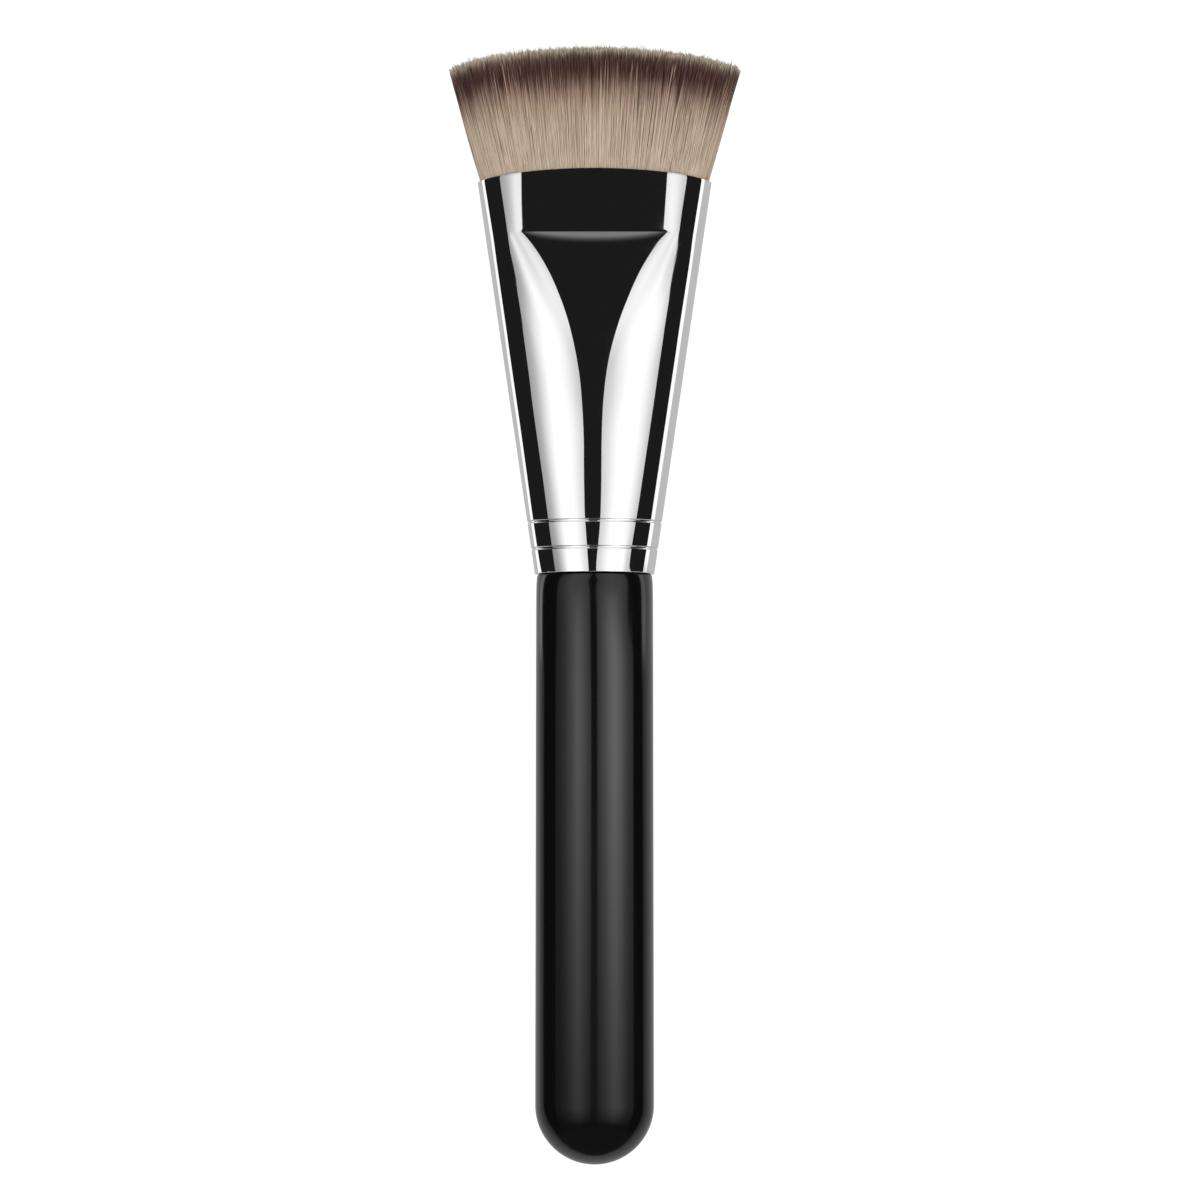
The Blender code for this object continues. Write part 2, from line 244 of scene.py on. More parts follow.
def make_piece(name, points, face_groups, replaces, finish):
    """A smooth mesh piece of the brush from an array of points and arrays of faces, in place on its body."""
    corners = np.concatenate([faces.ravel() for faces in face_groups])
    sizes = np.concatenate([np.full(len(faces), faces.shape[1]) for faces in face_groups])
    mesh = bpy.data.meshes.new(name)
    mesh.vertices.add(len(points))
    mesh.vertices.foreach_set("co", points.astype(np.float32).ravel())
    mesh.loops.add(len(corners))
    mesh.loops.foreach_set("vertex_index", corners.astype(np.int32))
    mesh.polygons.add(len(sizes))
    mesh.polygons.foreach_set("loop_start", (np.cumsum(sizes) - sizes).astype(np.int32))
    mesh.update(calc_edges=True)
    mesh.shade_smooth()
    mesh.materials.append(finish)
    piece = bpy.data.objects.new(name, mesh)
    bpy.context.scene.collection.objects.link(piece)
    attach(piece, "root")
    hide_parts(replaces)
    return piece


def in_frame(x, s, rise):
    """Points of the frame from places on the brush."""
    x, s, rise = np.broadcast_arrays(x, s, rise)
    return np.stack([x, start_y + s, axis_z + rise], axis=-1)


def round_faces(rows, columns, joined=False):
    """Four-sided faces between rings of points, and from the last ring to the first if they are joined."""
    row, column = np.indices((rows if joined else rows - 1, columns))
    next_row = (row + 1) % rows
    next_column = (column + 1) % columns
    corners = [(row, column), (next_row, column), (next_row, next_column), (row, next_column)]
    return np.stack([r * columns + c for r, c in corners], axis=-1).reshape(-1, 4)


def fan(pole, ring_start, columns, at_tips):
    """Three-sided faces from a pole to a ring of points; at_tips turns them to face the tips."""
    here = ring_start + np.arange(columns)
    after = ring_start + (np.arange(columns) + 1) % columns
    first, second = (after, here) if at_tips else (here, after)
    return np.stack([np.full(columns, pole), first, second], axis=-1)


def crimp_depth(s):
    """How far the rolled crimps draw the wall in at s: a groove at each place, with straight flanks and a
    flat floor that is a share of its width."""
    risen = [(1 - np.abs(s - place) / CRIMP_HALF_WIDTH) / (1 - CRIMP_FLOOR_SHARE) for place in CRIMP_PLACES]
    return sum(CRIMP_DEPTH * np.clip(share, 0, 1) for share in risen)


def ferrule_section(s, inset=0.0, ease=0.0):
    """Half-width, half-thickness and half of the straight side at s, drawn in by inset.

    The half-width grows evenly with s. Below the crease the half-thickness swells back to the round end's
    and the straight side dies away, each as an exponential of the distance below the crease. An ease rounds
    the start of both, as a hyperbola of that radius.
    """
    below = np.maximum(CREASE_S - s, 0)
    below = np.sqrt(below**2 + ease**2) - ease
    swell_share = (1 - np.exp(-below / THICKNESS_FADE)) / (1 - math.exp(-CREASE_S / THICKNESS_FADE))
    half_width = FERRULE_END_RADIUS + flare * s
    half_thickness = MOUTH_HALF_THICKNESS + (FERRULE_END_RADIUS - MOUTH_HALF_THICKNESS) * swell_share
    half_flat = flat_half_width * np.exp(-below / FLAT_FADE)
    drawn_in = inset + crimp_depth(s)
    return half_width - drawn_in, half_thickness - drawn_in, half_flat


def oval_shares(arc_steps, flat_steps):
    """Shares of the straight side, round end and thickness at points round an oval: half a turn at each end
    and even steps along the two straight sides between them."""
    turn = np.linspace(-math.pi / 2, math.pi / 2, 2 * arc_steps + 1)
    across = np.linspace(1, -1, flat_steps + 1)[1:-1]
    flat = np.concatenate([1 + 0 * turn, across, -1 + 0 * turn, -across])
    end = np.concatenate([np.cos(turn), 0 * across, -np.cos(turn), 0 * across])
    thick = np.concatenate([np.sin(turn), 1 + 0 * across, -np.sin(turn), -1 + 0 * across])
    return flat, end, thick


def wall_ring(s, inset, shares):
    """Points on the wall at s: the oval of that section, and on its straight sides the band's slight hollow
    and the pressed step, which rises out of it below the crease as an exponential. Both are parabolas across,
    falling to nothing at the side's ends.

    The bend at the crease is sharp on the straight sides. Round the ends it is eased by the square of their
    share.
    """
    flat, end, thick = shares
    half_width, half_thickness, half_flat = ferrule_section(s, inset, SIDE_EASE * end**2)
    x = flat * half_flat + end * (half_width - half_flat)
    risen_share = 1 - np.exp(-np.maximum(CREASE_S - s, 0) / STEP_FADE)
    middle_rise = (STEP_HEIGHT + BAND_HOLLOW) * risen_share - BAND_HOLLOW
    pressed = middle_rise * np.maximum(half_flat**2 - x**2, 0) / flat_half_width**2
    return in_frame(x, s, thick * (half_thickness + pressed))


def mouth_s(x):
    """Where the arched mouth lies at x: a shallow parabola across the width."""
    return FERRULE_LENGTH - x**2 / (2 * MOUTH_ARC_RADIUS)


def crown_s(x):
    """Where the arched top of the tuft lies at x: a shallow parabola across the width."""
    return TIPS_S - x**2 / (2 * TOP_ARC_RADIUS)


def band_ring(share, inset, shares):
    """A ring of the pressed band, at a share of the way from the crease to the arched mouth."""
    flat, end, _ = shares
    half_width, _, half_flat = ferrule_section(FERRULE_LENGTH)
    reach = mouth_s(flat * half_flat + end * (half_width - half_flat)) - CREASE_S
    return wall_ring(CREASE_S + share * reach, inset, shares)


def row_places():
    """Where the rings of the wall lie: close together in the crimps, and by powers of an even count towards
    the round end and the crease."""
    spots = np.linspace(-CRIMP_RINGS_REACH, CRIMP_RINGS_REACH, CRIMP_RINGS)
    low_crimp, high_crimp = (place + spots * CRIMP_HALF_WIDTH for place in CRIMP_PLACES)
    foot = low_crimp[0] * np.linspace(0, 1, FOOT_RINGS) ** 2
    between = np.linspace(low_crimp[-1], high_crimp[0], BETWEEN_CRIMPS_RINGS)
    crease_zone = CREASE_S - CREASE_ZONE * np.linspace(1, 0, CREASE_RINGS) ** 1.5
    body = np.linspace(high_crimp[-1], crease_zone[0], BODY_RINGS)
    return np.concatenate([foot, low_crimp[1:], between[1:], high_crimp[1:], body[1:], crease_zone[1:]])


def make_ferrule(finish):
    """The tube: up its outside from the round end, over the cut mouth and down its inside.

    Each outer edge is rounded off by a quarter of a circle, from its side to its end face.
    """
    shares = oval_shares(WALL_ARC_STEPS, WALL_FLAT_STEPS)
    turn = np.radians(np.linspace(0, 90, RIM_RINGS))
    round_off = list(zip(RIM_ROUND_RADIUS * (1 - np.sin(turn)), RIM_ROUND_RADIUS * (1 - np.cos(turn))))
    round_on = round_off[::-1]
    inner_places = np.linspace(CREASE_S, RIM_ROUND_RADIUS, INNER_RINGS)[1:]
    rings = [wall_ring(setback, inset, shares) for setback, inset in round_on]
    rings += [wall_ring(s, 0, shares) for s in row_places()[1:]]
    rings += [band_ring(share, 0, shares) for share in np.linspace(0, 1, BAND_RINGS)[1:-1]]
    rings += [band_ring(1, inset, shares) - (0, setback, 0) for setback, inset in round_off]
    rings += [band_ring(1, FERRULE_WALL - inset, shares) - (0, setback, 0) for setback, inset in round_on]
    rings += [band_ring(share, FERRULE_WALL, shares) for share in INNER_BAND_SHARES]
    rings += [wall_ring(s, FERRULE_WALL, shares) for s in inner_places]
    rings += [wall_ring(0, FERRULE_WALL - RIM_ROUND_RADIUS, shares)]
    rings = np.stack(rings)
    faces = round_faces(len(rings), rings.shape[1], joined=True)
    return make_piece("ferrule_plated", rings.reshape(-1, 3), [faces], "ferrule", finish)


def arc(centre_radius, centre_s, radius, start, end, steps):
    """Radius and s along a circular arc of a turned profile, from one angle in degrees to another."""
    angle = np.radians(np.linspace(start, end, steps + 1))
    return np.column_stack([centre_radius + radius * np.cos(angle), centre_s + radius * np.sin(angle)])


def make_handle(finish):
    """A profile turned about the axis: a half-round end, a barrel that narrows slightly towards the ferrule,
    a rounded shoulder and the tenon with its glue grooves.

    Near the shoulder the barrel falls in, as an exponential of the distance from it.
    """
    shoulder_s = -SHOULDER_GAP
    dome = arc(0, HANDLE_BOTTOM_S + HANDLE_END_RADIUS, HANDLE_END_RADIUS, -90, 0, DOME_STEPS)[1:]
    edge_radius = HANDLE_SHOULDER_RADIUS - SHOULDER_FALL
    round_off = arc(edge_radius - SHOULDER_ROUND_RADIUS, shoulder_s - SHOULDER_ROUND_RADIUS,
                    SHOULDER_ROUND_RADIUS, 0, 90, SHOULDER_STEPS)
    share = 1 - (1 - np.linspace(0, 1, BARREL_STEPS + 1)[1:, None]) ** 2
    barrel = dome[-1] + share * ([HANDLE_SHOULDER_RADIUS, round_off[0, 1]] - dome[-1])
    barrel[:, 0] -= SHOULDER_FALL * np.exp((barrel[:, 1] - round_off[0, 1]) / SHOULDER_FALL_LENGTH)
    spots = np.linspace(-1, 1, GROOVE_RINGS)
    groove_s = np.concatenate([place + spots * CRIMP_HALF_WIDTH for place in CRIMP_PLACES])
    grooves = np.column_stack([tenon_radius - crimp_depth(groove_s), groove_s])
    tenon = [[tenon_radius, shoulder_s], *grooves, [tenon_radius, TENON_LENGTH - TENON_CHAMFER],
             [tenon_radius - TENON_CHAMFER, TENON_LENGTH]]
    profile = np.concatenate([dome, barrel, round_off[1:], tenon])
    turn = np.linspace(0, 2 * math.pi, HANDLE_SIDES, endpoint=False)
    radius, s = profile[:, :1], profile[:, 1:]
    points = in_frame(radius * np.cos(turn), s, radius * np.sin(turn)).reshape(-1, 3)
    poles = in_frame(0, np.array([HANDLE_BOTTOM_S, TENON_LENGTH]), 0)
    last_ring = (len(profile) - 1) * HANDLE_SIDES
    faces = [round_faces(len(profile), HANDLE_SIDES), fan(len(points), 0, HANDLE_SIDES, at_tips=False),
             fan(len(points) + 1, last_ring, HANDLE_SIDES, at_tips=True)]
    points = np.concatenate([points, poles])
    return make_piece("handle_lacquered", points, faces, "handle", finish)


def make_slice(finish):
    """Slice of set resin that the fibres grow from: two ovals of the ferrule's bore, joined and closed."""
    shares = oval_shares(SLICE_ARC_STEPS, SLICE_FLAT_STEPS)
    inset = FERRULE_WALL + FIT_GAP
    rings = np.stack([wall_ring(s, inset, shares) for s in (SLICE_BOTTOM_S, CREASE_S)])
    columns = rings.shape[1]
    poles = in_frame(0, np.array([SLICE_BOTTOM_S, CREASE_S]), 0)
    faces = [round_faces(2, columns), fan(2 * columns, 0, columns, at_tips=False),
             fan(2 * columns + 1, columns, columns, at_tips=True)]
    points = np.concatenate([rings.reshape(-1, 3), poles])
    return make_piece("tuft_slice", points, faces, "bristle_tuft", finish)


def spread_fibres():
    """Shares of the straight side, round end and thickness for every fibre, evenly spread over the oval.

    Each fibre takes the next point of an even two-number sequence, which SPREAD_STEPS carries on from the
    last one. The first number is a share of the oval's area, counted across its width. The second is a share
    of its thickness there, and a power of it crowds the fibres towards the faces.
    """
    number = np.arange(FIBRES) + 0.5
    area_share, rise_share = (number * step % 1 for step in SPREAD_STEPS)
    half_width, _, half_flat = ferrule_section(mouth_corner_s, FERRULE_WALL + FIT_GAP)
    across = np.linspace(-1, 1, AREA_PLACES) * half_width
    round_share = np.maximum(np.abs(across) - half_flat, 0) / (half_width - half_flat)
    rise = np.sqrt(np.maximum(1 - round_share**2, 0))
    area = np.concatenate([[0], np.cumsum((rise[1:] + rise[:-1]) / 2)])
    x = np.interp(area_share * area[-1], area, across)
    flat = np.clip(x / half_flat, -1, 1)
    end = (x - flat * half_flat) / (half_width - half_flat)
    depth = 2 * rise_share - 1
    depth = np.sign(depth) * np.abs(depth) ** SURFACE_CROWDING
    return flat, end, depth * np.sqrt(np.maximum(1 - end**2, 0))


def waves(x, rise, length, chance):
    """A smooth uneven field over the tuft's top, from -1 to 1: the mean of plane waves of about one length,
    each with its own direction and start."""
    turn = chance.uniform(0, 2 * math.pi, CLUMP_WAVES)[:, None]
    start = chance.uniform(0, 2 * math.pi, CLUMP_WAVES)[:, None]
    pace = 2 * math.pi / (length * chance.uniform(*CLUMP_LENGTH_SPREAD, CLUMP_WAVES)[:, None])
    return np.sin(pace * (np.cos(turn) * x + np.sin(turn) * rise) + start).mean(axis=0)


def make_fibres(finish):
    """Every fibre as a tapered three-sided strand, in pieces from left to right.

    A strand runs straight from its place in the slice to the mouth, then on to the same place in the crown's
    larger oval. It bends by half a sine wave and a smaller whole one, less so at the tuft's ends. It strays
    by itself with the square of the way up, and is pulled into a clump with its neighbours by the cube,
    except at the ends. A few strands stand out past the others.
    """
    chance = np.random.default_rng(FIBRE_SEED)
    flat, end, thick = spread_fibres()
    foot_inset = FERRULE_WALL + FIT_GAP + FIBRE_RADIUS
    mouth_inset = FERRULE_WALL + FIBRE_GAP + FIBRE_RADIUS
    crown = (TOP_HALF_WIDTH, TOP_HALF_THICKNESS, TOP_HALF_WIDTH - TOP_END_WIDTH)

    def laid(section):
        half_width, half_thickness, half_flat = section
        return flat * half_flat + end * (half_width - half_flat), thick * half_thickness

    foot_x, foot_rise = laid(ferrule_section(CREASE_S, foot_inset))
    mouth_x, mouth_rise = laid(ferrule_section(mouth_corner_s, mouth_inset))
    mouth_rise *= 1 - BAND_HOLLOW / MOUTH_HALF_THICKNESS
    crown_x, crown_rise = laid(crown)
    crowd_x, crowd_rise, uneven = (
        sum(length * waves(crown_x, crown_rise, length, chance) for length in CLUMP_LENGTHS)
        for _ in range(3))
    uneven = CLUMP_DROP_SHARE * np.abs(uneven)
    pull = CLUMP_PULL_SHARE * np.stack([crowd_x, crowd_rise]) * (1 - end**2)
    bend = chance.normal(0, FIBRE_BEND, (2, FIBRES))
    wave = chance.normal(0, FIBRE_WAVE, (2, FIBRES))
    stray = chance.normal(0, TIP_WANDER, (2, FIBRES))
    drop = TIP_DROP * chance.beta(*TIP_DROP_SPREAD, FIBRES) + uneven
    is_long = chance.uniform(0, 1, FIBRES) < LONG_TIP_SHARE
    drop = np.where(is_long, -chance.exponential(LONG_TIP_REACH, FIBRES), drop)
    up = np.array(STRAND_LEVELS)[:, None]
    half_wave, whole_wave = np.sin(math.pi * up), np.sin(2 * math.pi * up)
    loose = 1 - EDGE_CALM * end**2
    off_line = loose * (half_wave * bend[:, None] + whole_wave * wave[:, None])
    off_line = off_line + up**2 * stray[:, None] + up**3 * pull[:, None]
    x = mouth_x + up * (crown_x - mouth_x) + off_line[0]
    rise = mouth_rise + up * (crown_rise - mouth_rise) + off_line[1]
    s = mouth_s(mouth_x) + up * (crown_s(crown_x) - drop - mouth_s(mouth_x))
    x = np.concatenate([foot_x[None], x])
    rise = np.concatenate([foot_rise[None], rise])
    s = np.concatenate([np.full((1, FIBRES), CREASE_S), s])
    turn = chance.uniform(0, 2 * math.pi, FIBRES)
    across_share = (crown_x / TOP_HALF_WIDTH + 1) / 2 + chance.normal(0, STRAND_MAP_STRAY, FIBRES)
    across_share = np.clip(across_share, 0, 1) * (1 - STRAND_MAP_WIDTH)
    for number, members in enumerate(np.array_split(np.argsort(mouth_x), FIBRE_GROUPS)):
        make_strands(f"fibres_{number + 1}", x[:, members], s[:, members], rise[:, members], turn[members],
                     across_share[members], finish)


def strand_map(across, along):
    """Places in the pattern's map, a row for each corner, from shares across the tuft and along a strand."""
    return np.stack(np.broadcast_arrays(across, along), axis=-1).reshape(-1, 2)


def make_strands(name, x, s, rise, turn, across_share, finish):
    """A piece of strands: at each level a triangle round the strand's line, closed at both ends.

    In the pattern's map each strand has a narrow stretch near its own place across the tuft, and runs from
    its root at the bottom to its tip at the top.
    """
    levels, strands = x.shape
    corner = turn[None, :, None] + np.arange(3) * 2 * math.pi / 3
    radius = (FIBRE_RADIUS * np.array(STRAND_TAPER))[:, None, None]
    corner_x = x[..., None] + radius * np.cos(corner)
    corner_rise = rise[..., None] + radius * np.sin(corner)
    points = in_frame(corner_x, s[..., None], corner_rise).transpose(1, 0, 2, 3).reshape(-1, 3)
    first = (np.arange(strands) * 3 * levels)[:, None, None]
    sides = (first + round_faces(levels, 3)[None]).reshape(-1, 4)
    foot = first[:, 0] + np.array([[0, 1, 2]])
    tip = first[:, 0] + 3 * (levels - 1) + np.array([[0, 2, 1]])
    piece = make_piece(name, points, [sides, foot, tip], "bristle_tuft", finish)
    length = np.concatenate([[0], np.cumsum(np.hypot(np.diff(s[:, 0]), np.diff(x[:, 0])))])
    up_share = length / length[-1]
    level, side = np.indices((levels - 1, 3)).reshape(2, -1)
    round_share = np.stack([side, side, side + 1, side + 1], axis=-1) / 3
    along = np.stack([up_share[level], up_share[level + 1], up_share[level + 1], up_share[level]], axis=-1)
    own = across_share[:, None]
    third = np.arange(3) / 3
    side_map = strand_map(own[..., None] + STRAND_MAP_WIDTH * round_share, along)
    foot_map = strand_map(own + STRAND_MAP_WIDTH * third, 0.0)
    tip_map = strand_map(own + STRAND_MAP_WIDTH * third[[0, 2, 1]], 1.0)
    pattern = piece.data.uv_layers.new(name=PATTERN_MAP)
    places = np.concatenate([side_map, foot_map, tip_map]).astype(np.float32)
    pattern.uv.foreach_set("vector", places.ravel())
    return piece


# Ranges of a pattern's value over which its marks come in
SMEAR_RANGE = (0.45, 0.75)
LINE_RANGE = (0.4, 0.8)
CLOUD_RANGE = (0.35, 0.7)
BUBBLE_RANGE = (0.0, 0.4)


def make_handling_group():
    """Roughness and height that handling leaves on a polished face: broad smears and fine rubbed lines."""
    inputs = {"Roughness": 0.1, "Smears": 0.02, "Lines": 0.02, "Line Scale": 4000.0}
    group, given, result = new_group("handling_marks", inputs, {"Roughness": float, "Height": float})
    place = node(group, "TexCoord").outputs["Object"]
    smears = noise(group, place, scale=160.0, detail=3.0)
    along = node(group, "Mapping", {"Vector": place, "Scale": (0.02, 1.0, 0.02)}).outputs["Vector"]
    lines = noise(group, along, scale=given["Line Scale"], detail=2.0)
    smeared = maths(group, "MULTIPLY", rescaled(group, smears, *SMEAR_RANGE, smooth=True), given["Smears"])
    lined = maths(group, "MULTIPLY", rescaled(group, lines, *LINE_RANGE), given["Lines"])
    rough = maths(group, "ADD", given["Roughness"], maths(group, "ADD", smeared, lined))
    group.links.new(rough, result["Roughness"])
    group.links.new(lines, result["Height"])
    return group


def make_resin_group():
    """Colour and height of a set resin: cloudy depths with fine bubbles."""
    inputs = {"Clear Colour": (0.6, 0.4, 0.2, 1.0), "Cloudy Colour": (0.8, 0.7, 0.5, 1.0),
              "Cloud Scale": 500.0}
    group, given, result = new_group("set_resin", inputs, {"Colour": tuple, "Height": float})
    place = node(group, "TexCoord").outputs["Object"]
    clouds = noise(group, place, scale=given["Cloud Scale"], detail=4.0)
    bubbles = node(group, "TexVoronoi", {"Vector": place, "Scale": 2600.0}).outputs["Distance"]
    cloudy = rescaled(group, clouds, *CLOUD_RANGE, smooth=True)
    tints = {0: cloudy, 6: given["Clear Colour"], 7: given["Cloudy Colour"]}
    group.links.new(node(group, "Mix", tints, data_type="RGBA").outputs[2], result["Colour"])
    group.links.new(rescaled(group, bubbles, *BUBBLE_RANGE, smooth=True), result["Height"])
    return group


def make_chrome(handling):
    """Bright nickel-chrome plate, polished round the ferrule."""
    material, tree = new_material("chrome_plate")
    marks = placed(tree, handling, {"Roughness": 0.02, "Smears": 0.01, "Lines": 0.008, "Line Scale": 3500.0})
    bump = node(tree, "Bump", {"Height": marks["Height"], "Strength": 0.01, "Distance": 0.00001})
    shader = node(tree, "BsdfPrincipled", {"Base Color": (0.95, 0.95, 0.955, 1), "Metallic": 1.0,
                                           "Roughness": marks["Roughness"], "Normal": bump.outputs[0]})
    finished_with(tree, shader)
    return material


def make_lacquer(handling):
    """Deep black lacquer over the turned wood, rubbed to a gloss."""
    material, tree = new_material("black_lacquer")
    marks = placed(tree, handling, {"Roughness": 0.11, "Smears": 0.03, "Lines": 0.02, "Line Scale": 1800.0})
    place = node(tree, "TexCoord").outputs["Object"]
    peel = noise(tree, place, scale=900.0, detail=1.0)
    bump = node(tree, "Bump", {"Height": peel, "Strength": 0.05, "Distance": 0.00002})
    shader = node(tree, "BsdfPrincipled", {"Base Color": (0.0035, 0.0036, 0.0042, 1),
                                           "Roughness": marks["Roughness"], "Normal": bump.outputs[0]})
    finished_with(tree, shader)
    return material


def make_resin(name, resin, clear, cloudy, scale, roughness):
    """A set resin or adhesive with its own tints."""
    material, tree = new_material(name)
    body = placed(tree, resin, {"Clear Colour": (*clear, 1), "Cloudy Colour": (*cloudy, 1),
                                "Cloud Scale": scale})
    bump = node(tree, "Bump", {"Height": body["Height"], "Strength": 0.3, "Distance": 0.00005})
    shader = node(tree, "BsdfPrincipled", {"Base Color": body["Colour"], "Roughness": roughness,
                                           "Normal": bump.outputs[0]})
    finished_with(tree, shader)
    return material


# Tones from the tip down, by shares of the toned length
FIBRE_TONES = (
    (0.0, (0.84, 0.76, 0.63)),
    (0.03, (0.59, 0.49, 0.37)),
    (0.07, (0.26, 0.17, 0.13)),
    (0.13, (0.12, 0.06, 0.05)),
    (0.25, (0.1, 0.04, 0.03)),
    (0.34, (0.16, 0.09, 0.07)),
    (0.5, (0.43, 0.29, 0.22)),
    (0.62, (0.58, 0.43, 0.33)),
    (0.8, (0.69, 0.56, 0.42)),
    (1.0, (0.71, 0.58, 0.45)),
)
TONED_LENGTH = 13.0 * mm
CLUMPS_ACROSS = 8.0
CLUMPS_ALONG = 0.5
STRANDS_ACROSS = 75.0
STREAKS_ACROSS = 85.0
STREAKS_ALONG = 12.0
UNDYED_RANGE = (0.6, 0.68)
CLUMP_SHIFT = 0.3
STRAND_SHIFT = 0.45

# Changes below the tip: from one share of the toned length to another, and from one value to another
SHIFT_BELOW_TIP = (0.0, 0.3, 0.1, 1.0)
UNDYED_BELOW_TIP = (0.05, 0.14, 0.0, 0.24)
UNDYED_LOWER_DOWN = (0.2, 0.4, 1.0, 0.3)
CONTRAST_BELOW_TIP = (0.25, 0.6, 2.0, 0.25)

# Roughness from strand to strand: from one noise value to another, and from one roughness to another
FIBRE_ROUGHNESS = (0.3, 0.7, 0.45, 0.62)


def make_fibre_finish():
    """Dyed filament: a pale tip, a dark brown band with a ragged lower edge, and a warm cream body.

    The tone follows the distance from the tip. It is shifted from strand to strand and from clump to clump,
    but hardly at the tip itself. Undyed strands stay paler through the band.
    """
    material, tree = new_material("tipped_fibre")
    strand_length = TIPS_S - CREASE_S
    place = node(tree, "SeparateXYZ", {0: node(tree, "UVMap", uv_map=PATTERN_MAP).outputs[0]})
    across, along = place.outputs["X"], place.outputs["Y"]

    def strand_noise(across_scale, along_scale, detail, start):
        spot = node(tree, "CombineXYZ", {"X": maths(tree, "MULTIPLY", across, across_scale),
                                         "Y": maths(tree, "MULTIPLY", along, along_scale), "Z": start})
        return noise(tree, spot.outputs[0], scale=1.0, detail=detail)

    clump = strand_noise(CLUMPS_ACROSS, CLUMPS_ALONG, detail=1.0, start=2.0)
    strand = strand_noise(STRANDS_ACROSS, 0.0, detail=0.0, start=7.0)
    streak = strand_noise(STREAKS_ACROSS, STREAKS_ALONG, detail=1.0, start=13.0)
    undyed_strand = strand_noise(STRANDS_ACROSS, 0.0, detail=0.0, start=23.0)
    undyed = rescaled(tree, undyed_strand, *UNDYED_RANGE)
    below_tip = maths(tree, "MULTIPLY", maths(tree, "SUBTRACT", 1.0, along), strand_length / TONED_LENGTH)
    clump_shift = maths(tree, "MULTIPLY", maths(tree, "SUBTRACT", clump, 0.5), CLUMP_SHIFT)
    strand_shift = maths(tree, "MULTIPLY", maths(tree, "SUBTRACT", strand, 0.5), STRAND_SHIFT)
    shift = maths(tree, "ADD", clump_shift, strand_shift)
    spread = maths(tree, "MULTIPLY", shift, rescaled(tree, below_tip, *SHIFT_BELOW_TIP))
    paler = maths(tree, "MULTIPLY", undyed, rescaled(tree, below_tip, *UNDYED_BELOW_TIP))
    paler = maths(tree, "MULTIPLY", paler, rescaled(tree, below_tip, *UNDYED_LOWER_DOWN))
    tone = ramp(tree, maths(tree, "ADD", below_tip, maths(tree, "ADD", spread, paler)), FIBRE_TONES)
    uneven = maths(tree, "SUBTRACT", maths(tree, "ADD", streak, strand), 1.0)
    contrast = rescaled(tree, below_tip, *CONTRAST_BELOW_TIP)
    bright = maths(tree, "ADD", 1.0, maths(tree, "MULTIPLY", uneven, contrast))
    brightness = node(tree, "CombineColor", {0: bright, 1: bright, 2: bright}).outputs[0]
    colour = node(tree, "Mix", {0: 1.0, 6: tone, 7: brightness}, data_type="RGBA", blend_type="MULTIPLY")
    rough = rescaled(tree, strand, *FIBRE_ROUGHNESS)
    shader = node(tree, "BsdfPrincipled", {"Base Color": colour.outputs[2], "Roughness": rough})
    finished_with(tree, shader)
    return material


# Reflection tent, a long glowing capsule round the brush, seen only in its polish and casting no diffuse
# light or shadow. Its glow paints the reflections on the brush, set part by part along Y: the glow that the
# handle reflects is set brighter than the ferrule's, and a grey band paints the floor's reflection. Its
# inner, outer and floor seams are stops of (millimetres along Y, degrees from straight up to that side). Its
# other rows are
# stops of (share of the way from the inner seam to the outer, glow), each the painted reflection for one
# stretch:
# along the handle, along the ferrule, along its cone and at its mouth. PROFILE_STARTS says from where to
# where, in millimetres along Y, each of those rows takes over from the one before. END_FLOOR is the painted
# floor reflection's seam round the handle's end.
TENT_RADIUS = 120 * mm
TENT_POLE_RADIUS = TENT_RADIUS / 1000
TENT_TIP_END_Y = 400 * mm
TENT_HANDLE_END_Y = -220 * mm
BLACK_CLOTH = 0.011
PEAK_GLOW = 3.2
SIDE_EDGE = 0.0001
